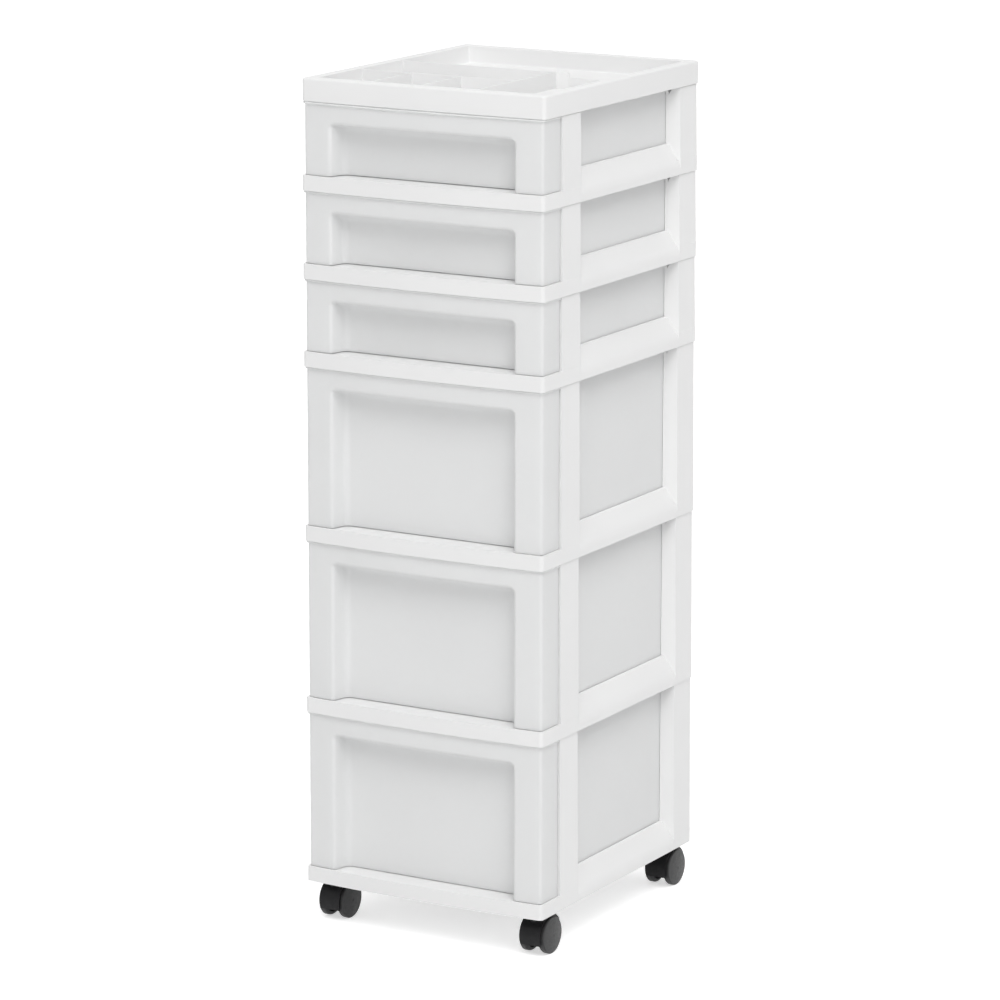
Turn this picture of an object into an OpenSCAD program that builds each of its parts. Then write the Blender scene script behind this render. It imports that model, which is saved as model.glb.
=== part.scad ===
// Rolling drawer tower: six stacked frames on twin-wheel casters, a drawer that
// slides in each frame, and a divided organizer tray on top.
// X runs across the front, -Y is the front and Z is up. The origin is on the
// ground under the middle of the tower. All sizes are in millimetres.

/* [Tower] */
// Width of a frame across its skirt
frame_w = 309; // [290:1:330]
// Depth from the middle of the bowed front lips to the rear of the tray
tower_d = 367; // [345:1:390]
// Height of the lowest frame's edge above the ground
base_clear = 49; // [48:0.5:60]
// Height from one deep frame to the next
deep_h = 200; // [150:1:240]
// Height from one shallow frame to the next
shallow_h = 99.5; // [85:0.5:130]
// How far the middle of a front lip stands forward of its corners
front_bow = 6; // [4:0.5:8]
// Plan radius of the frames' vertical corners
corner_r = 5; // [4.5:0.5:9]

/* [Frames] */
// Wall of the skirt, and width of the bead along the front lip
skirt_t = 3; // [2.6:0.1:3.6]
// Wall of the posts, sills, floor and ribs
frame_t = 2.5; // [2:0.1:3]
// Top of a frame's floor above the lower edge of its skirt
floor_h = 17; // [14:0.5:20]
// Height of the lip's bead and of the drawer runners above the floor
bead_h = 0.5; // [0.3:0.1:2.5]
// How far a post leans in over its height
post_draft = 1.5; // [1:0.1:2]
// Distance from the lip's corner back to the front post
post_setback = 43; // [34:1:50]
// Width of a front post
front_post_w = 41; // [34:0.5:52]
// Width of a rear post at the side, at its returns' inner edges
rear_post_w = 49; // [38:0.5:60]
// Width of a rear post at the rear
rear_face_w = 29.5; // [24:0.5:40]
// How far a rear post's side return slants back from its inner edge to the face
flare = 5; // [3:0.5:7]
// Depth of a post's return at its top, beside a window
return_d = 13.5; // [12.5:0.5:14.5]
// Radius at the upper inner corner of a return
return_r = 11; // [8:0.5:11]
// Height of the upright band below a sill's slope
sill_band_h = 11; // [8:0.5:13]
// Radius of the crease between the band and the slope
crease_r = 20; // [14:1:22]
// Height of a sill's inner edge above the skirt's lower edge
sill_h = 35; // [30:0.5:42]
// Height of the tongues that locate the next frame
tongue_h = 8; // [5:0.5:11]
// Gap between a tongue and the skirt that it stands in
stack_gap = 0.3; // [0.2:0.05:0.5]
// Height and depth of the shadow groove round the posts' tops
groove_h = 0.8; // [0.5:0.1:1.2]
groove_d = 1; // [0.6:0.1:1.2]

/* [Drawers] */
// Wall of a drawer
drawer_t = 2; // [1.6:0.1:2.6]
// Gap under a drawer, above its runners
slide_gap = 0.3; // [0.3:0.1:0.8]
// Gap between a drawer's top and the frame above
head_gap = 2; // [1.5:0.5:5]
// Gap between a drawer's side and the guide wall behind the sill
side_gap = 1; // [0.6:0.1:1.5]
// Distance from the frame's side in to the drawer front's side
front_reveal = 2.5; // [2.5:0.5:6]
// Distance from the lip's face back to the drawer's face
face_setback = 3; // [3:0.5:5]
// Gap between a drawer's front and the front posts
post_gap = 1; // [0.6:0.1:2]
// Plan radius at the edges of a drawer's front
front_r = 4; // [3:0.5:8]
// Plan radius of a drawer's rear corners
drawer_rear_r = 14; // [8:1:20]
// Distance from a drawer's rear to the rear of its frame
rear_space = 36; // [24:1:46]
// Width and height of the rim round a drawer's top
rim = 2; // [1.4:0.1:2.4]
// Width of the opening of the finger recess at the drawer's face
recess_w = 234; // [210:1:250]
// Depth of the finger recess at the drawer's corners
recess_d = 20; // [14:0.5:24]
// How far each side of the recess leans in over its depth
recess_lean = 5; // [2:0.5:8]
// Distance from a drawer's top down to the recess
recess_top = 21.5; // [16:0.5:28]
// How far the recess's ceiling falls over its depth
recess_fall = 4; // [2:0.5:6]
// Radius between the walls and the floor of the recess
recess_r = 9; // [5:0.5:11]
// Distance from the middle to a stop lug on the drawer's rear wall
lug_x = 60; // [50:1:75]
// Width of a stop lug
lug_w = 16; // [12:1:22]
// Thickness of a stop lug
lug_t = 4; // [3:0.5:6]
// How far a stop lug reaches up behind the stop rail
lug_bite = 2.5; // [1.5:0.1:2.8]

/* [Organizer top] */
// Height of the organizer top
tray_h = 26; // [22:0.5:34]
// How far the organizer top stands past the frames
tray_over = 0.2; // [0:0.1:1.5]
// Distance from the lips' corners back to the organizer top's front corners
tray_setback = 1.5; // [0:0.5:3]
// Bow of the organizer top's front edge
tray_bow = 4; // [3:0.5:6]
// Plan radius of the organizer top's corners
tray_r = 5; // [4:0.5:9]
// Wall of the organizer top
tray_t = 2.5; // [2:0.1:3]
// Width of the rim all round
tray_rim_w = 13.7; // [12:0.1:16]
// Top of the compartments' floor above the lower edge
tray_floor_h = 6; // [5.5:0.1:8]
// Thickness of a divider
divider_t = 1.8; // [1.4:0.1:2.4]
// Distance from the rim down to the top of the dividers
divider_drop = 1.5; // [1:0.1:3]
// Front-to-back length of the rear compartment
rear_bay_d = 149; // [120:1:165]
// Front-to-back length of the three small compartments
small_bay_d = 94.5; // [70:0.5:110]
// Width of the compartment at the right
right_bay_w = 83; // [65:1:100]
// Width of a small compartment, from the left wall
small_bay_w = 63.5; // [50:0.5:70]
// How far the wall behind the right compartment is cut down
notch_drop = 6.6; // [4:0.1:9]
// Distance from the right compartment's left wall to the cut-down stretch
notch_inset = 17; // [10:1:30]
// Radius of the compartments' upright corners
pocket_r = 3; // [2:0.5:5]

/* [Casters] */
// Distance from the frame's side in to a caster's stem
caster_inset_side = 22.2; // [18:0.1:25]
// Distance from the lip's corner back to a front caster's stem
caster_inset_front = 27.2; // [22:0.1:32]
// Distance from the frame's rear to a rear caster's stem
caster_inset_rear = 33.6; // [24:0.1:38]
// Diameter of a caster wheel
wheel_d = 43; // [40:0.5:44]
// Overall width of a caster across its two wheels
caster_w = 35; // [32:0.5:40]
// Width of a wheel's tread with its rounded inner edge
tread_w = 7.5; // [6:0.5:8]
// Radius of a tread's inner edge
tread_r = 3.5; // [1:0.5:3.5]
// Distance from the stem back to the wheels' axle
trail = 9.8; // [8:0.1:12]
// Diameter of the stem in the frame's socket
stem_d = 8; // [7:0.1:9]
// Diameter of the stem in the caster's housing
pivot_d = 7; // [6:0.1:7.4]
// Depth of a socket in the lowest frame
socket_depth = 12.5; // [11:0.1:13]
// Diameter of the wheels' axle
axle_d = 5; // [4:0.1:6]
// Radial running clearance of pivots and axles
run_gap = 0.05; // [0.03:0.01:0.08]
// Thickness of the housing between the wheels
web_t = 10.8; // [10.4:0.1:12]
// Width of the hood over the wheels
hood_w = 26; // [22:0.5:28]
// Wall of the hood
hood_t = 1.8; // [1.5:0.1:2.4]
// Gap between a wheel's tread and the hood
hood_gap = 1.1; // [0.8:0.1:1.6]

/* [Hidden] */
FRAME_COLOUR = [0.93, 0.93, 0.93];
DRAWER_COLOUR = [0.86, 0.87, 0.87];
CASTER_COLOUR = [0.09, 0.09, 0.10];
WHEEL_COLOUR = [0.16, 0.16, 0.17];
STEEL_COLOUR = [0.62, 0.63, 0.65];

// How far joined walls of one moulding run into each other
LAP = 0.5;
// Steps in a bowed edge and in a rounded corner
BOW_STEPS = 24;
CORNER_STEPS = 8;
$fn = 72;

LEVELS = ["bottom", "middle", "top"];
// Each row of drawers from the ground up: kind, level, lower edge, frame height
ROWS = concat(
    [for (i = [0:2]) ["deep", LEVELS[i], base_clear + i * deep_h, deep_h]],
    [for (i = [0:2]) ["shallow", LEVELS[i], base_clear + 3 * deep_h + i * shallow_h, shallow_h]]
);
TRAY_Z = base_clear + 3 * (deep_h + shallow_h);
// Each caster: name, side along X, end along Y
CASTERS = [
    ["front_left", -1, -1],
    ["front_right", 1, -1],
    ["rear_left", -1, 1],
    ["rear_right", 1, 1],
];
CASTER_PARTS = ["stem", "grip_ring", "housing", "axle", "wheel_left", "wheel_right"];

// Plan of the frames
HALF_W = frame_w / 2;
CORNER_Y = -tower_d / 2 + front_bow;
REAR_Y = tower_d / 2 - tray_over;
BOW_R = bow_radius(HALF_W, front_bow);
BOW_Y = CORNER_Y - front_bow + BOW_R;
FRONT_POST = [CORNER_Y + post_setback, CORNER_Y + post_setback + front_post_w];
REAR_POST_Y = REAR_Y - rear_post_w;
REAR_POST_X = HALF_W - rear_face_w;
SILL_END_Y = REAR_POST_Y + flare;
GUIDE_X = HALF_W - return_d - frame_t;
// The returns' round keeps a flat top beside the post's wall
RETURN_R = min(return_r, return_d - post_draft - 2 * LAP);
// Lean of a sill's slope, and the round at its top, which leaves a flat of LAP
SILL_LEAN = atan2(return_d, sill_h - sill_band_h);
SILL_R = (frame_t - LAP) / tan((90 - SILL_LEAN) / 2);
TONGUE_X = HALF_W - skirt_t - stack_gap;
TONGUE_Y = REAR_Y - skirt_t - stack_gap;
TONGUE_ROOT = 12;
TONGUE_END_GAP = 1.5;
RIB_T = 2;
RIB_EDGE = 4;
RIB_OFFSET = 32;
RUNNER_X = 100;
RUNNER_W = 3;

// Plan of the drawers
BODY_HALF = GUIDE_X - side_gap;
BODY_REAR = REAR_Y - rear_space;
FACE_HALF = HALF_W - front_reveal;
FACE_REAR = FRONT_POST[0] - post_gap;
FACE_REAR_R = 2;
FACE_R = BOW_R - face_setback;
RECESS_Y = BOW_Y - sqrt(FACE_R * FACE_R - FACE_HALF * FACE_HALF) + recess_d;
STOP_Y = FRONT_POST[1];
STOP_HALF = lug_x + 2 * RIB_OFFSET;
LUG_ROOT = 12;

// Plan of the organizer top
TRAY_HALF = HALF_W + tray_over;
TRAY_REAR = REAR_Y + tray_over;
TRAY_BOW_R = bow_radius(TRAY_HALF, tray_bow);
TRAY_CORNER_Y = CORNER_Y + tray_setback;
TRAY_BOW_Y = TRAY_CORNER_Y - tray_bow + TRAY_BOW_R;
POCKET_X = TRAY_HALF - tray_rim_w;
POCKET_FRONT = TRAY_CORNER_Y + tray_rim_w;
POCKET_REAR = TRAY_REAR - tray_rim_w;
REAR_WALL_Y = POCKET_REAR - rear_bay_d;
SMALL_WALL_Y = POCKET_FRONT + small_bay_d;
RIGHT_WALL_X = POCKET_X - right_bay_w;
SEAT_H = 4;

// Casters
WHEEL_R = wheel_d / 2;
STEM_X = HALF_W - caster_inset_side;
FRONT_STEM_Y = CORNER_Y + caster_inset_front;
REAR_STEM_Y = REAR_Y - caster_inset_rear;
HOOD_IN = WHEEL_R + hood_gap;
HOOD_OUT = HOOD_IN + hood_t;
HOOD_FROM = 30;
HOOD_TO = 200;
WEB_R = 13;
WHEEL_GAP = 0.8;
WHEEL_IN = web_t / 2 + WHEEL_GAP;
WHEEL_RIM_T = 4;
WHEEL_HUB_T = 3;
WHEEL_DISC_T = 2.5;
WHEEL_CROWN = 2.5;
WHEEL_EDGE = 1;
AXLE_INSET = 3.5;
AXLE_END = caster_w / 2 - AXLE_INSET;
STEM_FOOT = WHEEL_R + 3;
STEM_FOOT_GAP = 1;
COLLAR_R = 6.5;
COLLAR_H = 2.7;
BODY_GAP = 0.3;
NECK_R = 7.5;
NECK_TOP = base_clear - COLLAR_H - BODY_GAP;
GROOVE_Z = [6, 8.5];
GROOVE_DEPTH = 1;
GRIP_OUT = 0.35;
GRIP_SLIT = 1.5;
SOCKET_WALL = 6;

// Radius of an arc that rises by rise over a chord of twice half
function bow_radius(half, rise) = (half * half + rise * rise) / (2 * rise);

// Points of an arc from angle a0 to a1, without its first skip points
function arc(x, y, r, a0, a1, steps, skip = 0) =
    [for (i = [skip:steps]) let (a = a0 + (a1 - a0) * i / steps) [x + r * cos(a), y + r * sin(a)]];

// Plan of a box with a bowed front: an arc of radius r about [0, bow_y], straight
// sides at half and a straight rear, with radius rf in front and rr at the rear
function bowed_plan(half, r, bow_y, rear, rf, rr) =
    let (
        a = asin((half - rf) / (r - rf)),
        yf = bow_y - (r - rf) * cos(a)
    )
    concat(
        arc(0, bow_y, r, -90 - a, -90 + a, BOW_STEPS),
        arc(half - rf, yf, rf, -90 + a, 0, CORNER_STEPS, 1),
        arc(half - rr, rear - rr, rr, 0, 90, CORNER_STEPS),
        arc(rr - half, rear - rr, rr, 90, 180, CORNER_STEPS),
        [for (i = [0:CORNER_STEPS - 1]) let (b = 180 + (90 - a) * i / CORNER_STEPS)
            [rf - half + rf * cos(b), yf + rf * sin(b)]]
    );

// Plan of a frame, moved in by inset
function frame_plan(inset) =
    bowed_plan(HALF_W - inset, BOW_R - inset, BOW_Y, REAR_Y - inset, corner_r - inset, corner_r - inset);

// Plan of the organizer top, moved in by inset
function tray_plan(inset) =
    bowed_plan(
        TRAY_HALF - inset, TRAY_BOW_R - inset, TRAY_BOW_Y, TRAY_REAR - inset, tray_r - inset, tray_r - inset
    );

// Plan of a rectangle with round corners
function rounded_plan(x0, x1, y0, y1, r) =
    concat(
        arc(x1 - r, y0 + r, r, -90, 0, CORNER_STEPS),
        arc(x1 - r, y1 - r, r, 0, 90, CORNER_STEPS),
        arc(x0 + r, y1 - r, r, 90, 180, CORNER_STEPS),
        arc(x0 + r, y0 + r, r, 180, 270, CORNER_STEPS)
    );

// A box between two opposite corners
module block(low, high) {
    translate(low) cube(high - low);
}

// An outline drawn in Y and Z, extruded along X from x0 to x1
module along_x(x0, x1) {
    translate([x0, 0, 0]) rotate([90, 0, 90]) linear_extrude(x1 - x0) children();
}

// An outline drawn in X and Z, extruded along Y from y0 to y1
module along_y(y0, y1) {
    translate([0, y1, 0]) rotate([90, 0, 0]) linear_extrude(y1 - y0) children();
}

// The same thing on the right and on the left
module both_sides() {
    children();
    mirror([1, 0, 0]) children();
}

// ---- Frames ----

// Section of a post's wall: upright at the face, leaning in by the draft
function post_wall(face, h) =
    [[face, 0], [face - post_draft, h], [face - post_draft - frame_t, h], [face - frame_t, 0]];

// Section of a post's return: its inner edge leans, and is round at the top. It ends
// at in from the post's face
function post_return(face, h, in = LAP) =
    concat(
        [[face - return_d - frame_t, 0], [face - in, 0], [face - post_draft - in, h]],
        arc(face - return_d + RETURN_R, h - RETURN_R, RETURN_R, 90, 180, CORNER_STEPS)
    );

// Section of a sill: upright band, crease, slope, round top, and guide wall down to
// the floor
function sill_section(face) =
    let (
        inner = face - return_d,
        slope = (sill_h - sill_band_h) / return_d,
        drop = frame_t * sqrt(1 + slope * slope),
        root = floor_h - frame_t
    )
    concat(
        [[face, 0]],
        arc(
            face - crease_r, sill_band_h - crease_r * tan(SILL_LEAN / 2), crease_r, 0, SILL_LEAN,
            CORNER_STEPS
        ),
        arc(inner - frame_t + LAP, sill_h - SILL_R, SILL_R, SILL_LEAN, 90, CORNER_STEPS),
        [
            [inner - frame_t, sill_h], [inner - frame_t, root], [inner, root], [inner, sill_h - drop],
            [face - skirt_t, sill_band_h + slope * skirt_t - drop], [face - skirt_t, 0],
        ]
    );

// Tongue in the plane of a wall: section from its root in the post to its tip
function tongue_section(out, face, h) =
    [
        [out, h + tongue_h], [out - frame_t, h + tongue_h], [out - frame_t, h - TONGUE_ROOT],
        [face - post_draft - frame_t / 2, h - TONGUE_ROOT], [face - post_draft - frame_t / 2, h], [out, h],
    ];

module front_post(h) {
    along_y(FRONT_POST[0], FRONT_POST[1]) polygon(post_wall(HALF_W, h));
    along_y(FRONT_POST[0], FRONT_POST[0] + frame_t) polygon(post_return(HALF_W, h));
    along_y(FRONT_POST[1] - frame_t, FRONT_POST[1]) polygon(post_return(HALF_W, h));
    post_shelf([GUIDE_X + frame_t, FRONT_POST[0]], [HALF_W - post_draft - LAP, FRONT_POST[1]], h);
    along_y(FRONT_POST[0] + frame_t + TONGUE_END_GAP, FRONT_POST[1] - frame_t - TONGUE_END_GAP)
        polygon(tongue_section(TONGUE_X, HALF_W, h));
}

// Side return of a rear post, slanting back from its inner edge to the face
module flared_return(h) {
    front = REAR_POST_Y - flare * frame_t / return_d;
    thick = frame_t * sqrt(1 + pow(flare / return_d, 2));
    intersection() {
        linear_extrude(h) polygon([
            [GUIDE_X, front], [HALF_W, SILL_END_Y], [HALF_W, SILL_END_Y + thick], [GUIDE_X, front + thick],
        ]);
        along_y(front - LAP, SILL_END_Y + thick + LAP) polygon(post_return(HALF_W, h, 0));
    }
}

module rear_post(h) {
    straight = [HALF_W - corner_r, REAR_Y - corner_r];
    along_y(SILL_END_Y, straight[1]) polygon(post_wall(HALF_W, h));
    along_x(REAR_POST_X, straight[0]) polygon(post_wall(REAR_Y, h));
    translate([straight[0], straight[1], 0])
        rotate_extrude(angle = 90) polygon(post_wall(corner_r, h));
    flared_return(h);
    along_x(REAR_POST_X, REAR_POST_X + frame_t) polygon(post_return(REAR_Y, h));
    post_shelf([GUIDE_X + frame_t, SILL_END_Y], [HALF_W - post_draft - LAP, straight[1]], h);
    along_y(SILL_END_Y + frame_t + TONGUE_END_GAP, straight[1] - TONGUE_END_GAP)
        polygon(tongue_section(TONGUE_X, HALF_W, h));
    along_x(REAR_POST_X + frame_t + TONGUE_END_GAP, straight[0] - TONGUE_END_GAP)
        polygon(tongue_section(TONGUE_Y, REAR_Y, h));
}

// Level stiffener inside a post, below the round of its returns
module post_shelf(low, high, h) {
    top = h - RETURN_R;
    block([low[0], low[1], top - frame_t], [high[0], high[1], top]);
}

// Skirt round the floor, open where the sills take its place
module skirt() {
    difference() {
        linear_extrude(floor_h) difference() {
            polygon(frame_plan(0));
            polygon(frame_plan(skirt_t));
        }
        both_sides() block(
            [HALF_W - return_d, FRONT_POST[1], -LAP],
            [HALF_W + LAP, SILL_END_Y, floor_h + LAP]
        );
        block(
            [-REAR_POST_X, REAR_Y - return_d, -LAP],
            [REAR_POST_X, REAR_Y + LAP, floor_h + LAP]
        );
    }
}

// Floor plate, open under the hollow sills
module floor_plate() {
    difference() {
        translate([0, 0, floor_h - frame_t]) linear_extrude(frame_t) polygon(frame_plan(skirt_t - LAP));
        both_sides() block(
            [HALF_W - return_d, FRONT_POST[1], 0],
            [HALF_W, REAR_POST_Y, floor_h + LAP]
        );
        block([-REAR_POST_X, REAR_Y - return_d, 0], [REAR_POST_X, REAR_Y, floor_h + LAP]);
    }
}

// Raised bead round the lip, forward of the front posts
module lip_bead() {
    intersection() {
        linear_extrude(floor_h + bead_h) difference() {
            polygon(frame_plan(0));
            polygon(frame_plan(skirt_t));
        }
        block(
            [-HALF_W, -tower_d / 2, floor_h - LAP],
            [HALF_W, FRONT_POST[0] + LAP, floor_h + bead_h]
        );
    }
}

module sills() {
    both_sides() along_y(FRONT_POST[1] - LAP, SILL_END_Y + LAP) polygon(sill_section(HALF_W));
    along_x(-REAR_POST_X - LAP, REAR_POST_X + LAP) polygon(sill_section(REAR_Y));
}

// Guide walls beside the posts, in line with the inner walls of the sills
module guides() {
    rear = REAR_Y - return_d;
    both_sides() {
        block([GUIDE_X, FRONT_POST[0], floor_h - LAP], [GUIDE_X + frame_t, FRONT_POST[1], sill_h]);
        block([GUIDE_X, REAR_POST_Y, floor_h - LAP], [GUIDE_X + frame_t, rear, sill_h]);
        block([REAR_POST_X - LAP, rear - frame_t, floor_h - LAP], [GUIDE_X + frame_t, rear, sill_h]);
    }
}

module underside_ribs() {
    both_sides() for (side = [-1, 1])
        block(
            [lug_x + side * RIB_OFFSET - RIB_T / 2, CORNER_Y + skirt_t, RIB_EDGE],
            [lug_x + side * RIB_OFFSET + RIB_T / 2, REAR_Y - return_d, floor_h - frame_t + LAP]
        );
    stop_rail(floor_h - frame_t + LAP);
}

// Rail below a floor that the drawer's stop lugs meet
module stop_rail(top) {
    block([-STOP_HALF, STOP_Y - frame_t, 0], [STOP_HALF, STOP_Y, top]);
}

module runners() {
    both_sides() block(
        [RUNNER_X - RUNNER_W / 2, FRONT_POST[0], floor_h - LAP],
        [RUNNER_X + RUNNER_W / 2, BODY_REAR, floor_h + bead_h]
    );
}

// Shadow groove round the posts' tops, under the skirt of the next frame
module seam_groove(h) {
    translate([0, 0, h - groove_h]) linear_extrude(groove_h + LAP) difference() {
        polygon(frame_plan(-LAP));
        polygon(frame_plan(post_draft + groove_d));
    }
}

module frame(h) {
    skirt();
    floor_plate();
    lip_bead();
    sills();
    guides();
    underside_ribs();
    runners();
    difference() {
        both_sides() {
            front_post(h);
            rear_post(h);
        }
        seam_groove(h);
    }
}

// Where the four stems stand, in plan
module at_stems() {
    both_sides() for (y = [FRONT_STEM_Y, REAR_STEM_Y]) translate([STEM_X, y, 0]) children();
}

// The lowest frame has sockets for the stems, each with a groove for the grip ring
module base_frame(h) {
    difference() {
        union() {
            frame(h);
            at_stems() cylinder(r = stem_d / 2 + SOCKET_WALL, h = floor_h - frame_t + LAP);
        }
        at_stems() {
            translate([0, 0, -LAP]) cylinder(d = stem_d, h = socket_depth + LAP);
            translate([0, 0, GROOVE_Z[0]])
                cylinder(r = stem_d / 2 + GRIP_OUT, h = GROOVE_Z[1] - GROOVE_Z[0]);
        }
    }
}

module row_frame(row) {
    color(FRAME_COLOUR) translate([0, 0, row[2]]) {
        if (row[2] == base_clear) base_frame(row[3]);
        else frame(row[3]);
    }
}

// ---- Drawers ----

// Plan of a drawer: wide behind its face, narrow between the posts
module drawer_plan(grow) {
    polygon(bowed_plan(
        FACE_HALF + grow, FACE_R + grow, BOW_Y, FACE_REAR + min(grow, 0),
        front_r + grow, FACE_REAR_R
    ));
    polygon(concat(
        [[-BODY_HALF - grow, FACE_REAR - recess_d / 2], [BODY_HALF + grow, FACE_REAR - recess_d / 2]],
        arc(BODY_HALF - drawer_rear_r, BODY_REAR - drawer_rear_r, drawer_rear_r + grow, 0, 90, CORNER_STEPS),
        arc(drawer_rear_r - BODY_HALF, BODY_REAR - drawer_rear_r, drawer_rear_r + grow, 90, 180, CORNER_STEPS)
    ));
}

// Finger recess in a drawer's front, open at the bottom, grown by grow on its walls
module recess(h, grow) {
    half = recess_w / 2 + grow;
    back = RECESS_Y + grow;
    front = CORNER_Y - front_bow;
    lean = recess_lean / recess_d;
    far = half + (back - front - recess_d) * lean;
    near = half - recess_d * lean;
    r = recess_r + grow;
    top = h - recess_top + grow;
    fall = recess_fall / recess_d;
    intersection() {
        translate([0, 0, -LAP]) linear_extrude(h) polygon(concat(
            [[-far, front], [far, front]],
            arc(near - r * (1 + lean), back - r, r, 0, 90, CORNER_STEPS),
            arc(-near + r * (1 + lean), back - r, r, 90, 180, CORNER_STEPS)
        ));
        along_x(-far - LAP, far + LAP) polygon(concat(
            [[front, -LAP], [back, -LAP]],
            arc(back - r, top - recess_fall - r * (1 + fall), r, 0, 90, CORNER_STEPS),
            [[RECESS_Y - recess_d, top], [front, top]]
        ));
    }
}

// Lug on the rear wall that stops the drawer at the rail of the frame above
module stop_lug(h) {
    block(
        [lug_x - lug_w / 2, BODY_REAR - lug_t, h - LUG_ROOT],
        [lug_x + lug_w / 2, BODY_REAR, h + head_gap + lug_bite]
    );
}

module drawer(h) {
    difference() {
        union() {
            linear_extrude(h) drawer_plan(0);
            translate([0, 0, h - rim]) linear_extrude(rim) drawer_plan(rim);
        }
        difference() {
            translate([0, 0, drawer_t]) linear_extrude(h) drawer_plan(-drawer_t);
            recess(h, drawer_t);
        }
        recess(h, 0);
    }
    both_sides() stop_lug(h);
}

module row_drawer(row) {
    foot = floor_h + bead_h + slide_gap;
    color(DRAWER_COLOUR) translate([0, 0, row[2] + foot]) drawer(row[3] - foot - head_gap);
}

// ---- Organizer top ----

// A divider wall between two points along X or Y
module divider(low, high, top) {
    block([low[0], low[1], tray_floor_h - LAP], [high[0], high[1], top]);
}

module dividers() {
    half = divider_t / 2;
    top = tray_h - divider_drop;
    notch_x = RIGHT_WALL_X + notch_inset;
    divider([-POCKET_X - LAP, REAR_WALL_Y - half], [notch_x, REAR_WALL_Y + half], top);
    divider([notch_x, REAR_WALL_Y - half], [POCKET_X + LAP, REAR_WALL_Y + half], tray_h - notch_drop);
    divider([RIGHT_WALL_X - half, POCKET_FRONT - LAP], [RIGHT_WALL_X + half, REAR_WALL_Y], top);
    divider([-POCKET_X - LAP, SMALL_WALL_Y - half], [RIGHT_WALL_X, SMALL_WALL_Y + half], top);
    for (i = [1, 2])
        divider(
            [i * small_bay_w - POCKET_X - half, POCKET_FRONT - LAP],
            [i * small_bay_w - POCKET_X + half, SMALL_WALL_Y],
            top
        );
}

// Plan of the hollow that the uppermost frame's tongues stand in
module seat_plan() {
    intersection() {
        polygon(frame_plan(skirt_t));
        polygon(tray_plan(skirt_t));
    }
}

module organizer_top() {
    color(FRAME_COLOUR) translate([0, 0, TRAY_Z]) {
        difference() {
            linear_extrude(tray_h) polygon(tray_plan(0));
            translate([0, 0, tray_floor_h]) linear_extrude(tray_h)
                polygon(rounded_plan(-POCKET_X, POCKET_X, POCKET_FRONT, POCKET_REAR, pocket_r));
            translate([0, 0, -LAP]) linear_extrude(tray_floor_h - tray_t + LAP) seat_plan();
            translate([0, 0, SEAT_H]) linear_extrude(tray_h - tray_t - SEAT_H) difference() {
                polygon(tray_plan(tray_t));
                polygon(rounded_plan(
                    -POCKET_X - tray_t, POCKET_X + tray_t, POCKET_FRONT - tray_t, POCKET_REAR + tray_t,
                    pocket_r + tray_t
                ));
            }
            translate([0, 0, tray_floor_h - tray_t - LAP]) linear_extrude(SEAT_H) difference() {
                seat_plan();
                polygon(rounded_plan(
                    -POCKET_X - tray_t, POCKET_X + tray_t, POCKET_FRONT - tray_t, POCKET_REAR + tray_t,
                    pocket_r + tray_t
                ));
            }
        }
        dividers();
        stop_rail(tray_floor_h - tray_t + LAP);
    }
}

// ---- Casters ----

// Half section of the stem: foot, pivot, collar, socket end with a groove for the grip ring
module stem() {
    pivot_r = pivot_d / 2;
    top_r = stem_d / 2;
    top = base_clear + socket_depth;
    rotate_extrude() polygon([
        [0, STEM_FOOT], [pivot_r - WHEEL_EDGE, STEM_FOOT], [pivot_r, STEM_FOOT + WHEEL_EDGE],
        [pivot_r, NECK_TOP + BODY_GAP], [COLLAR_R, NECK_TOP + BODY_GAP], [COLLAR_R, base_clear],
        [top_r, base_clear], [top_r, base_clear + GROOVE_Z[0]],
        [top_r - GROOVE_DEPTH, base_clear + GROOVE_Z[0]], [top_r - GROOVE_DEPTH, base_clear + GROOVE_Z[1]],
        [top_r, base_clear + GROOVE_Z[1]], [top_r, top - WHEEL_EDGE], [top_r - WHEEL_EDGE, top], [0, top],
    ]);
}

// Split spring ring that snaps into the groove of the socket
module grip_ring() {
    difference() {
        translate([0, 0, base_clear + GROOVE_Z[0]])
            cylinder(r = stem_d / 2 + GRIP_OUT, h = GROOVE_Z[1] - GROOVE_Z[0]);
        translate([0, 0, base_clear]) cylinder(r = stem_d / 2 - GROOVE_DEPTH, h = GROOVE_Z[1] + LAP);
        block(
            [0, -GRIP_SLIT / 2, base_clear + GROOVE_Z[0] - LAP],
            [stem_d, GRIP_SLIT / 2, base_clear + GROOVE_Z[1] + LAP]
        );
    }
}

// Wedge of the hood's reach round the axle, in Y and Z
module hood_sector() {
    polygon(concat([[0, 0]], arc(0, 0, 2 * wheel_d, HOOD_FROM, HOOD_TO, 2 * CORNER_STEPS)));
}

// Housing: a web between the wheels, a hood over them and a neck round the stem
module housing() {
    difference() {
        union() {
            translate([0, trail, WHEEL_R]) {
                along_x(-hood_w / 2, hood_w / 2) intersection() {
                    difference() {
                        circle(r = HOOD_OUT);
                        circle(r = HOOD_IN);
                    }
                    hood_sector();
                }
                along_x(-web_t / 2, web_t / 2) {
                    circle(r = WEB_R);
                    intersection() {
                        circle(r = HOOD_IN + hood_t / 2);
                        hood_sector();
                    }
                }
            }
            difference() {
                translate([0, 0, WHEEL_R]) cylinder(r = NECK_R, h = NECK_TOP - WHEEL_R);
                translate([0, trail, WHEEL_R]) along_x(-NECK_R, NECK_R) circle(r = HOOD_IN + hood_t / 2);
            }
        }
        translate([0, 0, STEM_FOOT - STEM_FOOT_GAP]) cylinder(r = pivot_d / 2 + run_gap, h = base_clear);
        translate([0, trail, WHEEL_R]) rotate([0, 90, 0]) cylinder(d = axle_d, h = hood_w, center = true);
    }
}

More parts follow.
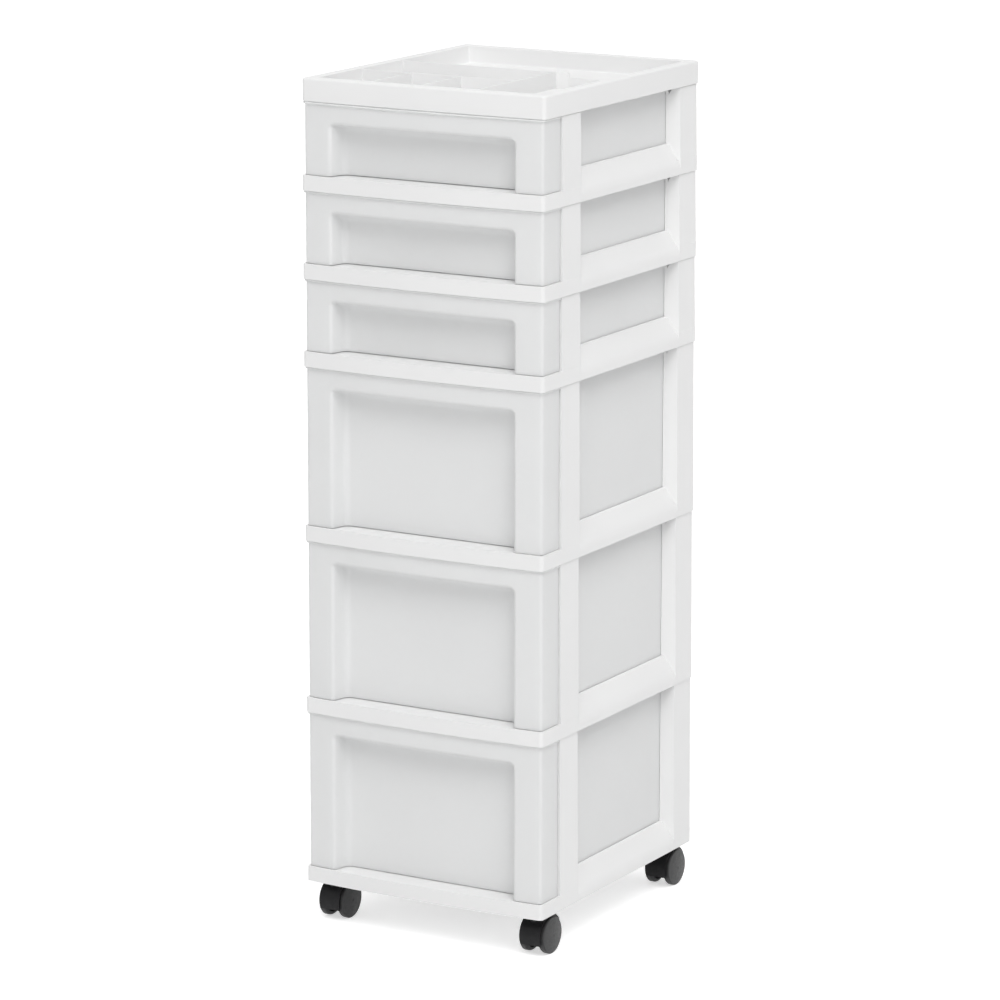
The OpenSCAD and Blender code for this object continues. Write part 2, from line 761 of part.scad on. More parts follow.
module axle() {
    translate([0, trail, WHEEL_R]) rotate([0, 90, 0]) cylinder(d = axle_d, h = 2 * AXLE_END, center = true);
}

// Cup-shaped wheel on the right of the web, with a crowned disc outside and a hub inside
module wheel() {
    edge = caster_w / 2 - WHEEL_CROWN;
    rim_in = edge - tread_w;
    tread_from = rim_in + tread_r;
    crown_r = bow_radius(WHEEL_R - WHEEL_EDGE, WHEEL_CROWN - WHEEL_EDGE);
    crown_a = asin((WHEEL_R - WHEEL_EDGE) / crown_r);
    bore_r = axle_d / 2 + run_gap;
    disc_in = edge - WHEEL_DISC_T;
    translate([0, trail, WHEEL_R]) rotate([0, 90, 0]) rotate_extrude() polygon(concat(
        [
            [bore_r, WHEEL_IN], [bore_r + WHEEL_HUB_T, WHEEL_IN], [bore_r + WHEEL_HUB_T, disc_in],
            [WHEEL_R - WHEEL_RIM_T, disc_in], [WHEEL_R - WHEEL_RIM_T, rim_in],
        ],
        arc(WHEEL_R - tread_r, tread_from, tread_r, 270, 360, CORNER_STEPS),
        [[WHEEL_R, edge]],
        arc(0, caster_w / 2 - crown_r, crown_r, 90 - crown_a, 90, CORNER_STEPS),
        [[0, AXLE_END + BODY_GAP], [bore_r, AXLE_END + BODY_GAP]]
    ));
}

module at_caster(caster) {
    translate([caster[1] * STEM_X, caster[2] < 0 ? FRONT_STEM_Y : REAR_STEM_Y, 0]) children();
}

// One piece of a caster, at the stem's axis
module caster_piece(piece) {
    if (piece == "stem") color(STEEL_COLOUR) stem();
    if (piece == "grip_ring") color(STEEL_COLOUR) grip_ring();
    if (piece == "housing") color(CASTER_COLOUR) housing();
    if (piece == "axle") color(STEEL_COLOUR) axle();
    if (piece == "wheel_left") color(WHEEL_COLOUR) mirror([1, 0, 0]) wheel();
    if (piece == "wheel_right") color(WHEEL_COLOUR) wheel();
}

organizer_top();
for (row = ROWS) {
    row_frame(row);
    row_drawer(row);
}
for (caster = CASTERS) for (piece = CASTER_PARTS)
    at_caster(caster) caster_piece(piece);
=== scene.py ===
"""Looks of the rolling drawer tower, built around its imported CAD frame. All sizes are in metres.

The drawers and the organizer top are modelled here as smooth mouldings that replace their CAD
nodes. The frames and the casters are the CAD nodes themselves, with softened edges, and each
frame gets slim lips on its rear posts.
"""

import math

import bmesh
import bpy
import numpy as np
from mathutils import Euler, Matrix, Vector


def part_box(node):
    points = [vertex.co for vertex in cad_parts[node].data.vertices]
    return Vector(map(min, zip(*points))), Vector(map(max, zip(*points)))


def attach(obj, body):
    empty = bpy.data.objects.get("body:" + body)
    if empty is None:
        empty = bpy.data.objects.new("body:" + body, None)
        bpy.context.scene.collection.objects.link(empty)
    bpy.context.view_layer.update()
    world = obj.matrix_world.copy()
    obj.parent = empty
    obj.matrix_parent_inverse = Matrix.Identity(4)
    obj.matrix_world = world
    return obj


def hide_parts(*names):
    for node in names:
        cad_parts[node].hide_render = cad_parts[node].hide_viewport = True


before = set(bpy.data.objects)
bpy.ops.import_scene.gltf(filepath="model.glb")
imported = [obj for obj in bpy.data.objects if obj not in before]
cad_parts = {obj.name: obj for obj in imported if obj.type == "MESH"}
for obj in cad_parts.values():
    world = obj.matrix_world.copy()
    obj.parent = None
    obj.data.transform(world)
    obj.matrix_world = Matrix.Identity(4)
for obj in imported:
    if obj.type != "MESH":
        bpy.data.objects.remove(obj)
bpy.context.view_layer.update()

LEVELS = ("bottom", "middle", "top")
ROWS = [f"deep_{{}}_{level}" for level in LEVELS] + [f"shallow_{{}}_{level}" for level in LEVELS]
FRAMES = [row.format("frame") for row in ROWS]
DRAWERS = [row.format("drawer") for row in ROWS]
CASTERS = ("front_left", "front_right", "rear_left", "rear_right")

# Plan of the frames: a bowed front, straight sides and rear
FRAME_LOW, FRAME_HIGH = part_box("deep_frame_middle")
HALF_W = FRAME_HIGH.x
FRONT_BOW = 0.006
BOW_RADIUS = (HALF_W**2 + FRONT_BOW**2) / (2 * FRONT_BOW)
BOW_Y = FRAME_LOW.y + BOW_RADIUS


# ---- Camera, light and floor ----

PICTURE_SIDE = 1000
FOCAL_PX = 4642.3
SENSOR = 36
CAMERA_AZIMUTH = 29.827
CAMERA_ELEVATION = 12.551
CAMERA_ROLL = 0.080
CAMERA_PLACE = (2.5768, -4.4969, 1.6327)
FAR_CLIP = 100


def make_camera():
    data = bpy.data.cameras.new("camera")
    data.sensor_width = SENSOR
    data.lens = FOCAL_PX * SENSOR / PICTURE_SIDE
    data.clip_end = FAR_CLIP
    camera = bpy.data.objects.new("camera", data)
    camera.location = CAMERA_PLACE
    level = Euler((math.radians(90 - CAMERA_ELEVATION), 0, math.radians(CAMERA_AZIMUTH)))
    roll = Matrix.Rotation(math.radians(CAMERA_ROLL), 3, "Z")
    camera.rotation_euler = (level.to_matrix() @ roll).to_euler()
    bpy.context.scene.collection.objects.link(camera)
    bpy.context.scene.camera = camera


LAMP_AIM = (0, 0, 0.5)
# Place, side and power in watts of each square lamp
LAMPS = {
    "key": ((3.73, -4.43, 7.39), 5.4, 370),
    "fill": ((4.0, -5.5, 1.0), 4.0, 30),
}


def area_light(name, place, side, power):
    data = bpy.data.lights.new(name, "AREA")
    data.shape = "SQUARE"
    data.size = side
    data.energy = power
    lamp = bpy.data.objects.new(name, data)
    lamp.location = place
    direction = Vector(LAMP_AIM) - Vector(place)
    lamp.rotation_mode = "QUATERNION"
    lamp.rotation_quaternion = direction.to_track_quat("-Z", "Y")
    bpy.context.scene.collection.objects.link(lamp)


# The world's strength at the horizon and overhead
HORIZON_LIGHT = 0.3
ZENITH_LIGHT = 0.82
FLOOR_HALF = 40.0
FLOOR_COLOUR = (0.9, 0.9, 0.9, 1)
# What the floor adds for the rays that see it directly, so that it looks white beside its shadow
FLOOR_LIFT = 0.56
WHITE_LIGHT = (1, 1, 1, 1)


def seen_directly(tree):
    """1 for the rays that see the background: camera, glossy and transmission rays."""
    nodes, links = tree.nodes, tree.links
    path = nodes.new("ShaderNodeLightPath")
    seen = None
    for ray in ("Is Camera Ray", "Is Glossy Ray", "Is Transmission Ray"):
        if seen is None:
            seen = path.outputs[ray]
            continue
        both = nodes.new("ShaderNodeMath")
        both.operation = "MAXIMUM"
        links.new(seen, both.inputs[0])
        links.new(path.outputs[ray], both.inputs[1])
        seen = both.outputs[0]
    return seen


def make_world():
    world = bpy.data.worlds.new("studio")
    bpy.context.scene.world = world
    world.use_nodes = True
    tree = world.node_tree
    tree.nodes.clear()
    plain = tree.nodes.new("ShaderNodeBackground")
    direction = tree.nodes.new("ShaderNodeTexCoord")
    split = tree.nodes.new("ShaderNodeSeparateXYZ")
    tree.links.new(direction.outputs["Generated"], split.inputs[0])
    rise = tree.nodes.new("ShaderNodeMapRange")
    rise.inputs["To Min"].default_value = HORIZON_LIGHT
    rise.inputs["To Max"].default_value = ZENITH_LIGHT
    tree.links.new(split.outputs["Z"], rise.inputs["Value"])
    tree.links.new(rise.outputs[0], plain.inputs["Strength"])
    white = tree.nodes.new("ShaderNodeBackground")
    white.inputs["Strength"].default_value = 1.0
    for background in (plain, white):
        background.inputs["Color"].default_value = WHITE_LIGHT
    mix = tree.nodes.new("ShaderNodeMixShader")
    tree.links.new(seen_directly(tree), mix.inputs["Fac"])
    tree.links.new(plain.outputs[0], mix.inputs[1])
    tree.links.new(white.outputs[0], mix.inputs[2])
    out = tree.nodes.new("ShaderNodeOutputWorld")
    tree.links.new(mix.outputs[0], out.inputs["Surface"])


def make_floor():
    mesh = bpy.data.meshes.new("floor")
    corners = [(x * FLOOR_HALF, y * FLOOR_HALF, 0) for x, y in ((-1, -1), (1, -1), (1, 1), (-1, 1))]
    mesh.from_pydata(corners, [], [(0, 1, 2, 3)])
    floor = bpy.data.objects.new("floor", mesh)
    bpy.context.scene.collection.objects.link(floor)
    material = bpy.data.materials.new("floor_white")
    material.use_nodes = True
    tree = material.node_tree
    tree.nodes.clear()
    diffuse = tree.nodes.new("ShaderNodeBsdfDiffuse")
    diffuse.inputs["Color"].default_value = FLOOR_COLOUR
    lift = tree.nodes.new("ShaderNodeEmission")
    lift.inputs["Color"].default_value = WHITE_LIGHT
    scaled = tree.nodes.new("ShaderNodeMath")
    scaled.operation = "MULTIPLY"
    scaled.inputs[1].default_value = FLOOR_LIFT
    tree.links.new(seen_directly(tree), scaled.inputs[0])
    tree.links.new(scaled.outputs[0], lift.inputs["Strength"])
    add = tree.nodes.new("ShaderNodeAddShader")
    tree.links.new(diffuse.outputs[0], add.inputs[0])
    tree.links.new(lift.outputs[0], add.inputs[1])
    out = tree.nodes.new("ShaderNodeOutputMaterial")
    tree.links.new(add.outputs[0], out.inputs["Surface"])
    mesh.materials.append(material)


# ---- Materials ----

# Noise values between which a blend of colours or a spread of roughness runs
COLOUR_RUN = (0.35, 0.65)
SPREAD_RUN = (0.3, 0.7)


class Shader:
    """A Principled material with helpers for procedural detail in object space."""

    def __init__(self, name, colour, roughness, **sockets):
        self.material = bpy.data.materials.new(name)
        self.material.use_nodes = True
        self.tree = self.material.node_tree
        self.bsdf = self.tree.nodes["Principled BSDF"]
        self.bsdf.inputs["Base Color"].default_value = (*colour, 1)
        self.bsdf.inputs["Roughness"].default_value = roughness
        for socket, value in sockets.items():
            self.bsdf.inputs[socket.replace("_", " ")].default_value = value
        self.coords = self.tree.nodes.new("ShaderNodeTexCoord")

    def noise(self, scale, detail=3.0, stretch=(1, 1, 1)):
        mapping = self.tree.nodes.new("ShaderNodeMapping")
        mapping.inputs["Scale"].default_value = stretch
        self.tree.links.new(self.coords.outputs["Object"], mapping.inputs["Vector"])
        texture = self.tree.nodes.new("ShaderNodeTexNoise")
        texture.inputs["Scale"].default_value = scale
        texture.inputs["Detail"].default_value = detail
        self.tree.links.new(mapping.outputs[0], texture.inputs["Vector"])
        return texture.outputs["Fac"]

    def blend_colour(self, factor, low, high):
        ramp = self.tree.nodes.new("ShaderNodeValToRGB")
        for stop, position, colour in zip(ramp.color_ramp.elements, COLOUR_RUN, (low, high)):
            stop.position = position
            stop.color = (*colour, 1)
        self.tree.links.new(factor, ramp.inputs["Fac"])
        self.tree.links.new(ramp.outputs["Color"], self.bsdf.inputs["Base Color"])

    def vary(self, factor, socket, low, high):
        spread = self.tree.nodes.new("ShaderNodeMapRange")
        limits = (*SPREAD_RUN, low, high)
        for name, value in zip(("From Min", "From Max", "To Min", "To Max"), limits):
            spread.inputs[name].default_value = value
        self.tree.links.new(factor, spread.inputs["Value"])
        self.tree.links.new(spread.outputs[0], self.bsdf.inputs[socket])

    def bump(self, factor, depth):
        node = self.tree.nodes.new("ShaderNodeBump")
        node.inputs["Strength"].default_value = 1.0
        node.inputs["Distance"].default_value = depth
        self.tree.links.new(factor, node.inputs["Height"])
        self.tree.links.new(node.outputs[0], self.bsdf.inputs["Normal"])


def white_plastic():
    """Opaque white polypropylene, satin, with the faint ripple of a large moulding."""
    shader = Shader("white_plastic", (0.85, 0.85, 0.85), 0.42, Specular_IOR_Level=0.3)
    shader.blend_colour(shader.noise(9.0, 2.0), (0.842, 0.842, 0.842), (0.858, 0.858, 0.857))
    shader.vary(shader.noise(60.0), "Roughness", 0.36, 0.46)
    shader.bump(shader.noise(1400.0, 2.0), 0.00002)
    return shader.material


def frosted_plastic():
    """Translucent frosted polypropylene: light passes the walls, shapes behind them blur."""
    shader = Shader(
        "frosted_plastic", (0.93, 0.935, 0.935), 0.5, Transmission_Weight=0.22, IOR=1.3
    )
    shader.blend_colour(shader.noise(7.0, 2.0), (0.925, 0.93, 0.93), (0.94, 0.945, 0.945))
    shader.vary(shader.noise(45.0), "Roughness", 0.46, 0.58)
    shader.bump(shader.noise(900.0, 2.0), 0.00003)
    return shader.material


def caster_plastic():
    """Black glass-filled nylon with a slight gloss."""
    shader = Shader("black_plastic", (0.008, 0.008, 0.009), 0.4, Specular_IOR_Level=0.2)
    shader.blend_colour(shader.noise(120.0), (0.007, 0.007, 0.008), (0.011, 0.011, 0.012))
    shader.vary(shader.noise(300.0), "Roughness", 0.28, 0.45)
    shader.bump(shader.noise(2500.0, 2.0), 0.00002)
    return shader.material


def wheel_plastic():
    """Dark grey nylon, satin, a little scuffed on the tread."""
    shader = Shader("wheel_plastic", (0.03, 0.03, 0.031), 0.45, Specular_IOR_Level=0.3)
    shader.blend_colour(shader.noise(150.0), (0.027, 0.027, 0.028), (0.036, 0.036, 0.037))
    shader.vary(shader.noise(400.0), "Roughness", 0.32, 0.5)
    shader.bump(shader.noise(3000.0, 2.0), 0.00002)
    return shader.material


def steel():
    """Zinc-plated steel with fine turning marks."""
    shader = Shader("plated_steel", (0.6, 0.6, 0.62), 0.3, Metallic=1.0)
    shader.blend_colour(shader.noise(200.0, 2.0, (1, 1, 12)), (0.55, 0.55, 0.57), (0.68, 0.68, 0.7))
    shader.vary(shader.noise(500.0), "Roughness", 0.22, 0.4)
    return shader.material


# ---- Mesh helpers ----

CORNER_STEPS = 10
CREASE = math.radians(38)


def arc(x, y, radius, start, end, steps, skip=0):
    """Points of an arc about (x, y), angles in degrees, without its first skip points."""
    angles = np.radians(np.linspace(start, end, steps + 1))[skip:]
    return [(x + radius * math.cos(a), y + radius * math.sin(a)) for a in angles]


def bowed(x, radius):
    """Y of a front arc of that radius about the frames' common centre."""
    return BOW_Y - math.sqrt(radius**2 - x**2)


class Moulding:
    """Collects loops and boxes into one mesh of an opaque or translucent moulding."""

    def __init__(self):
        self.bm = bmesh.new()

    def loft(self, loops):
        """Skins a closed solid through loops of equal length, with a flat cap at each end."""
        rings = [[self.bm.verts.new(p) for p in loop] for loop in loops]
        count = len(rings[0])
        for low, high in zip(rings, rings[1:]):
            for i in range(count):
                k = (i + 1) % count
                self.bm.faces.new((low[i], low[k], high[k], high[i]))
        self.bm.faces.new(rings[0][::-1])
        self.bm.faces.new(rings[-1])

    def box(self, low, high, radius, segments=2):
        """A box with rounded edges."""
        made = bmesh.ops.create_cube(self.bm, size=1.0)["verts"]
        for v in made:
            v.co = [low[k] if v.co[k] < 0 else high[k] for k in range(3)]
        edges = list({e for v in made for e in v.link_edges})
        bmesh.ops.bevel(
            self.bm, geom=edges, offset=radius, segments=segments, profile=0.5, affect="EDGES"
        )

    def piece(self, name, material, body, slot, *nodes):
        bmesh.ops.recalc_face_normals(self.bm, faces=self.bm.faces[:])
        for face in self.bm.faces:
            face.smooth = True
        for edge in self.bm.edges:
            if len(edge.link_faces) == 2 and edge.calc_face_angle(0) > CREASE:
                edge.smooth = False
        mesh = bpy.data.meshes.new(name)
        self.bm.to_mesh(mesh)
        self.bm.free()
        mesh.materials.append(material)
        made = bpy.data.objects.new(name, mesh)
        bpy.context.scene.collection.objects.link(made)
        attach(made, body)
        if nodes:
            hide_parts(*nodes)
        return made


# ---- Drawers ----

DRAWER_WALL = 0.002
RIM = 0.002
RIM_LIFT = 0.0017
LUG_REACH = 0.0045
LUG_HALF_W = 0.008
LUG_X = 0.060
LUG_T = 0.004
LUG_ROOT = 0.012
LUG_R = 0.0008
FACE_SETBACK = 0.003
FACE_EDGE_R = 0.004
FACE_DEPTH = 0.042
FACE_DEPTH_TO = FRAME_LOW.y + FRONT_BOW + FACE_DEPTH
STEP_R = 0.003
BODY_REAR_R = 0.0025
REAR_REACH = 0.003
BODY_INSET = 0.017
BOTTOM_R = 0.0006
INNER_FLOOR_R = 0.0005
RECESS_HALF = 0.117
RECESS_DEPTH = 0.020
RECESS_LEAN = 0.005
RECESS_FALL = 0.004
RECESS_TOP = 0.0232
RECESS_EDGE_R = 0.005
RECESS_EDGE_STEPS = 6
RECESS_FLOOR_R = 0.009
RECESS_FLOOR_STEPS = 10
# How far below the rim's top the plain wall ends, and the rim's section from there: heights and
# reaches outward, then the inner edge's heights and reaches inward. Heights and outward reaches are
# in rim widths, inward reaches in wall widths.
WALL_END = 1.4
RIM_OUTER = (
    (-1.15, 0.0),
    (-1.0, 0.3),
    (-0.95, 0.8),
    (-0.8, 1.0),
    (-0.3, 1.0),
    (-0.08, 0.9),
    (0.0, 0.65),
)
RIM_INNER = ((0.0, 0.7), (-0.1, 0.95))


def recess_slope(lean):
    """Offsets and depths along a recess wall that leans by lean, round at its edge and floor."""
    turn = math.atan2(RECESS_DEPTH, lean)
    reach = math.tan(turn / 2)
    edge_x = -RECESS_EDGE_R * reach
    floor_x = lean + RECESS_FLOOR_R * reach
    edge = [
        (edge_x + RECESS_EDGE_R * math.sin(a), RECESS_EDGE_R * (1 - math.cos(a)))
        for a in np.linspace(0, turn, RECESS_EDGE_STEPS + 1)
    ]
    floor = [
        (floor_x - RECESS_FLOOR_R * math.sin(a), RECESS_DEPTH - RECESS_FLOOR_R * (1 - math.cos(a)))
        for a in np.linspace(turn, 0, RECESS_FLOOR_STEPS + 1)
    ]
    return np.array(edge + floor)


SIDE_SLOPE = recess_slope(RECESS_LEAN)
TOP_SLOPE = recess_slope(RECESS_FALL)


def share(slope, offset):
    """How far down a slope has gone at an offset from its edge, from 0 to 1."""
    return float(np.interp(offset, slope[:, 0], slope[:, 1])) / RECESS_DEPTH


def drawer_plan(low, high):
    """Right half of a drawer's plan, front to rear, and how many of its points are the face."""
    half = high.x - RIM
    face_radius = BOW_RADIUS - FACE_SETBACK
    rear = high.y - RIM + REAR_REACH
    side = HALF_W - BODY_INSET
    lean = math.asin((half - FACE_EDGE_R) / (face_radius - FACE_EDGE_R))
    edge_y = BOW_Y - (face_radius - FACE_EDGE_R) * math.cos(lean)
    end_x = face_radius * math.sin(lean)
    middle = list(np.linspace(0, RECESS_HALF - SIDE_SLOPE[-1, 0], 10)[:-1])
    slope = [RECESS_HALF - x for x in SIDE_SLOPE[::-1, 0]]
    pillar = list(np.linspace(slope[-1], end_x, 5)[1:])
    face = [(x, bowed(x, face_radius)) for x in middle + slope + pillar]
    tilt = math.degrees(lean)
    outline = (
        arc(half - FACE_EDGE_R, edge_y, FACE_EDGE_R, tilt - 90, 0, CORNER_STEPS, 1)
        + arc(half - STEP_R, FACE_DEPTH_TO - STEP_R, STEP_R, 0, 90, CORNER_STEPS // 2)
        + arc(side + STEP_R, FACE_DEPTH_TO + STEP_R, STEP_R, 270, 180, CORNER_STEPS // 2)
        + [(side, FACE_DEPTH_TO + k * (rear - FACE_DEPTH_TO) / 6) for k in range(1, 5)]
        + arc(side - BODY_REAR_R, rear - BODY_REAR_R, BODY_REAR_R, 0, 90, CORNER_STEPS)
        + [(side * k / 3, rear) for k in (2, 1, 0)]
    )
    return face + outline, len(face)


def normals_of(grid):
    """Outward unit normals of a grid of points, rows upward and loops counter-clockwise."""
    along = np.roll(grid, -1, axis=1) - np.roll(grid, 1, axis=1)
    up = np.gradient(grid, axis=0)
    normal = np.cross(along, up)
    return normal / np.linalg.norm(normal, axis=2, keepdims=True)


def make_drawer(node, material):
    low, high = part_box(node)
    foot = low.z
    height = high.z - LUG_REACH + RIM_LIFT - foot
    right, face_count = drawer_plan(low, high)
    left = [(-x, y) for x, y in right[1:-1]][::-1]
    plan = np.array(right + left)
    recess_y = bowed(high.x - RIM, BOW_RADIUS - FACE_SETBACK) + RECESS_DEPTH
    is_face = np.zeros(len(plan), bool)
    is_face[:face_count] = True
    is_face[len(plan) - face_count + 1 :] = True

    ceiling = height - RECESS_TOP
    lower = list(np.linspace(BOTTOM_R, ceiling - TOP_SLOPE[-1, 0], 9)[:-1])
    middle = [ceiling - v for v in TOP_SLOPE[::-1, 0]]
    upper = list(np.linspace(middle[-1], height - WALL_END * RIM, 4)[1:])
    levels = lower + middle + upper
    side_share = np.array([share(SIDE_SLOPE, RECESS_HALF - abs(x)) for x, _ in plan]) * is_face
    grid = np.zeros((len(levels), len(plan), 3))
    for j, z in enumerate(levels):
        depth = (recess_y - plan[:, 1]) * side_share * share(TOP_SLOPE, ceiling - z)
        grid[j, :, 0] = plan[:, 0]
        grid[j, :, 1] = plan[:, 1] + depth
        grid[j, :, 2] = z
    normal = normals_of(grid)
    flat = normal * (1, 1, 0)
    flat /= np.linalg.norm(flat, axis=2, keepdims=True)
    rim_way = flat[-1].copy()
    front_block = plan[:, 1] < FACE_DEPTH_TO + STEP_R
    rim_way[front_block, 1] = np.minimum(rim_way[front_block, 1], 0)

    def ring(row, z, out, way=None):
        loop = grid[row] + (flat[row] if way is None else way) * out
        loop[:, 2] = z
        return loop

    loops = [ring(0, BOTTOM_R * (1 - math.sin(a)), -BOTTOM_R * (1 - math.cos(a)))
             for a in np.radians((90, 60, 30))]
    loops += list(grid)
    loops += [ring(-1, height + z * RIM, reach * RIM, rim_way) for z, reach in RIM_OUTER]
    loops += [ring(-1, height + z * RIM, -reach * DRAWER_WALL) for z, reach in RIM_INNER]
    inner = grid - normal * DRAWER_WALL
    for j in range(len(levels) - 1, -1, -1):
        if levels[j] > DRAWER_WALL + 2 * INNER_FLOOR_R:
            loops.append(inner[j])
    for a in np.radians((0, 30, 60, 90)):
        inward = DRAWER_WALL + INNER_FLOOR_R * (1 - math.cos(a))
        loops.append(ring(0, DRAWER_WALL + INNER_FLOOR_R * (1 - math.sin(a)), -inward))

    moulding = Moulding()
    moulding.loft([[(x, y, z + foot) for x, y, z in loop] for loop in loops])
    rear = high.y - RIM + REAR_REACH
    for x in (-LUG_X, LUG_X):
        moulding.box(
            (x - LUG_HALF_W, rear - LUG_T, foot + height - LUG_ROOT),
            (x + LUG_HALF_W, rear - DRAWER_WALL / 4, high.z),
            LUG_R,
        )
    return moulding.piece(f"{node}_shell", material, node, "frosted_plastic", node)


# ---- Lips of the rear posts ----

# Inner and outer end of a lip, which lies in the slanted line of the post's front face
LIP_X = (0.138, 0.141)
LIP_Y = (0.1332, 0.1343)
LIP_T = 0.0022
# From the drawer's foot up to a lip's foot, and from its rim down to the lip's top
LIP_RISE = 0.012
LIP_DROP = 0.0026


def make_post_lips(row, material):
    """Slim lips of a frame's rear posts, which narrow the slot beside the drawer's body."""
    low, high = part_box(row.format("drawer"))
    plan = list(zip(LIP_X, LIP_Y)) + [(x, y + LIP_T) for x, y in zip(LIP_X[::-1], LIP_Y[::-1])]
    moulding = Moulding()
    for side in (-1, 1):
        moulding.loft(
            [[(side * x, y, z) for x, y in plan]
             for z in (low.z + LIP_RISE, high.z - LUG_REACH - LIP_DROP)]
        )
    moulding.piece(f"{row.format('frame')}_post_lips", material, "tower", "white_plastic")


# ---- Organizer top ----

TRAY_BOW = 0.004
TRAY_CORNER_R = 0.005
TRAY_WALL = 0.0025
TRAY_RIM_W = 0.0137
TRAY_RIM_R = 0.0025
TRAY_RIM_STEPS = 6
TRAY_FLOOR = 0.006
TRAY_SEAT = 0.004
SKIRT_IN = 0.0032
POCKET_R = 0.003
POCKET_EDGE_R = 0.0012
POCKET_FLOOR_R = 0.002
POCKET_STEPS = 4
LEAST_CORNER_R = 0.0004
DIVIDER_T = 0.0018
DIVIDER_DROP = 0.0015
DIVIDER_R = 0.0005
REAR_BAY = 0.149
SMALL_BAY = 0.0945
RIGHT_BAY = 0.083
SMALL_BAY_W = 0.0635
NOTCH_DROP = 0.0066
NOTCH_INSET = 0.017
FRONT_STEPS = 24


def tray_ring(low, high, bow, radius, inset, z):
    """A rounded rectangle with a bowed front edge, moved in by inset, at height z."""
    half = high.x - inset
    corner = max(radius - inset, LEAST_CORNER_R)
    front = low.y + bow
    arc_radius = (high.x**2 + bow**2) / (2 * bow) if bow else None
    points = []
    for x in np.linspace(-(half - corner), half - corner, FRONT_STEPS + 1):
        lift = math.sqrt(arc_radius**2 - x**2) - (arc_radius - bow) if bow else 0
        points.append((x, front - lift + inset))
    edge_y = points[-1][1] + corner
    rear = high.y - inset - corner
    points += arc(half - corner, edge_y, corner, -90, 0, CORNER_STEPS, 1)
    points += arc(half - corner, rear, corner, 0, 90, CORNER_STEPS)
    points += arc(corner - half, rear, corner, 90, 180, CORNER_STEPS)
    points += arc(corner - half, edge_y, corner, 180, 270, CORNER_STEPS)[:-1]
    return [(x, y, z) for x, y in points]


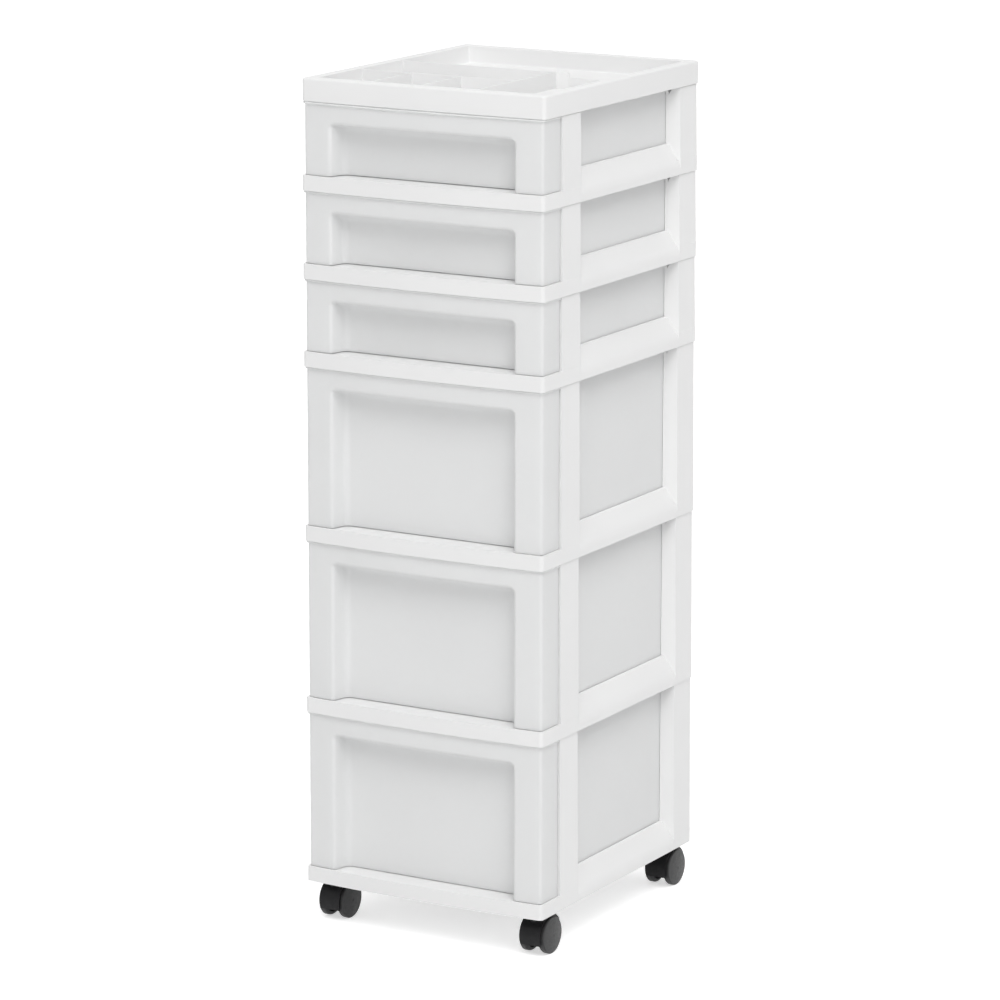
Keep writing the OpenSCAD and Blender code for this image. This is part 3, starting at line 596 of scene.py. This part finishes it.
def make_tray(material):
    node = "organizer_top"
    low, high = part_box(node)
    base, top = low.z, high.z
    front = low.y + TRAY_BOW
    pocket_low = Vector((low.x + TRAY_RIM_W, front + TRAY_RIM_W, 0))
    pocket_high = Vector((high.x - TRAY_RIM_W, high.y - TRAY_RIM_W, 0))

    def outer(inset, z):
        return tray_ring(low, high, TRAY_BOW, TRAY_CORNER_R, inset, z)

    def pocket(inset, z):
        return tray_ring(pocket_low, pocket_high, 0, POCKET_R, inset, z)

    loops = [
        pocket(-TRAY_WALL, base + TRAY_FLOOR - TRAY_WALL),
        pocket(-TRAY_WALL, top - TRAY_WALL),
        outer(TRAY_WALL, top - TRAY_WALL),
        outer(TRAY_WALL, base + TRAY_SEAT),
        outer(SKIRT_IN, base + TRAY_SEAT),
        outer(SKIRT_IN, base),
        outer(POCKET_EDGE_R / 2, base),
        outer(0, base + POCKET_EDGE_R / 2),
    ]
    for a in np.radians(np.linspace(0, 90, TRAY_RIM_STEPS + 1)):
        inset, drop = TRAY_RIM_R * (1 - math.cos(a)), TRAY_RIM_R * (1 - math.sin(a))
        loops.append(outer(inset, top - drop))
    for a in np.radians(np.linspace(90, 0, POCKET_STEPS + 1)):
        inset, drop = -POCKET_EDGE_R * (1 - math.cos(a)), POCKET_EDGE_R * (1 - math.sin(a))
        loops.append(pocket(inset, top - drop))
    for a in np.radians(np.linspace(0, 90, POCKET_STEPS + 1)):
        inset, rise = POCKET_FLOOR_R * (1 - math.cos(a)), POCKET_FLOOR_R * (1 - math.sin(a))
        loops.append(pocket(inset, base + TRAY_FLOOR + rise))
    moulding = Moulding()
    moulding.loft(loops)

    left, right = pocket_low.x, pocket_high.x
    rear_wall = pocket_high.y - REAR_BAY
    small_wall = pocket_low.y + SMALL_BAY
    right_wall = right - RIGHT_BAY
    notch = right_wall + NOTCH_INSET
    half = DIVIDER_T / 2
    full = top - DIVIDER_DROP
    walls = [
        ((left - half, rear_wall - half), (notch, rear_wall + half), full),
        ((notch - half, rear_wall - half), (right + half, rear_wall + half), top - NOTCH_DROP),
        ((right_wall - half, pocket_low.y - half), (right_wall + half, rear_wall), full),
        ((left - half, small_wall - half), (right_wall, small_wall + half), full),
    ]
    for k in (1, 2):
        x = left + k * SMALL_BAY_W
        walls.append(((x - half, pocket_low.y - half), (x + half, small_wall), full))
    for start, end, height in walls:
        moulding.box((*start, base + TRAY_FLOOR - half), (*end, height), DIVIDER_R)
    moulding.piece("organizer_top_shell", material, "tower", "white_plastic", node)


# ---- CAD nodes with softened edges ----

MERGE_ANGLE = 0.2
FULL_WEIGHT = 100
# Width of the rounding and the least angle in degrees of an edge that gets it
FRAME_EDGES = (0.0009, 18)
HOUSING_EDGES = (0.0006, 30)
WHEEL_EDGES = (0.0005, 30)
STEEL_EDGES = (0.0002, 40)
STEEL_SEGMENTS = 2


def soften(node, material, width, angle, segments=3):
    """Rounds a CAD node's edges with modifiers and gives it a material."""
    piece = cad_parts[node]
    piece.data.materials.clear()
    piece.data.materials.append(material)
    flatten = piece.modifiers.new("flatten", "DECIMATE")
    flatten.decimate_type = "DISSOLVE"
    flatten.angle_limit = math.radians(MERGE_ANGLE)
    bevel = piece.modifiers.new("round_edges", "BEVEL")
    bevel.width = width
    bevel.segments = segments
    bevel.limit_method = "ANGLE"
    bevel.angle_limit = math.radians(angle)
    bevel.use_clamp_overlap = True
    shade = piece.modifiers.new("flat_faces", "WEIGHTED_NORMAL")
    shade.keep_sharp = True
    shade.weight = FULL_WEIGHT


make_camera()
make_world()
make_floor()
for lamp, (place, side, power) in LAMPS.items():
    area_light(lamp, place, side, power)

WHITE = white_plastic()
FROSTED = frosted_plastic()
BLACK = caster_plastic()
WHEEL = wheel_plastic()
STEEL = steel()

for drawer in DRAWERS:
    make_drawer(drawer, FROSTED)
make_tray(WHITE)
for row in ROWS:
    make_post_lips(row, WHITE)
for name in FRAMES:
    soften(name, WHITE, *FRAME_EDGES)
for caster in CASTERS:
    soften(f"{caster}_housing", BLACK, *HOUSING_EDGES)
    for side in ("left", "right"):
        soften(f"{caster}_wheel_{side}", WHEEL, *WHEEL_EDGES)
    for part in ("stem", "grip_ring", "axle"):
        soften(f"{caster}_{part}", STEEL, *STEEL_EDGES, STEEL_SEGMENTS)

bpy.context.scene.view_settings.view_transform = "Standard"
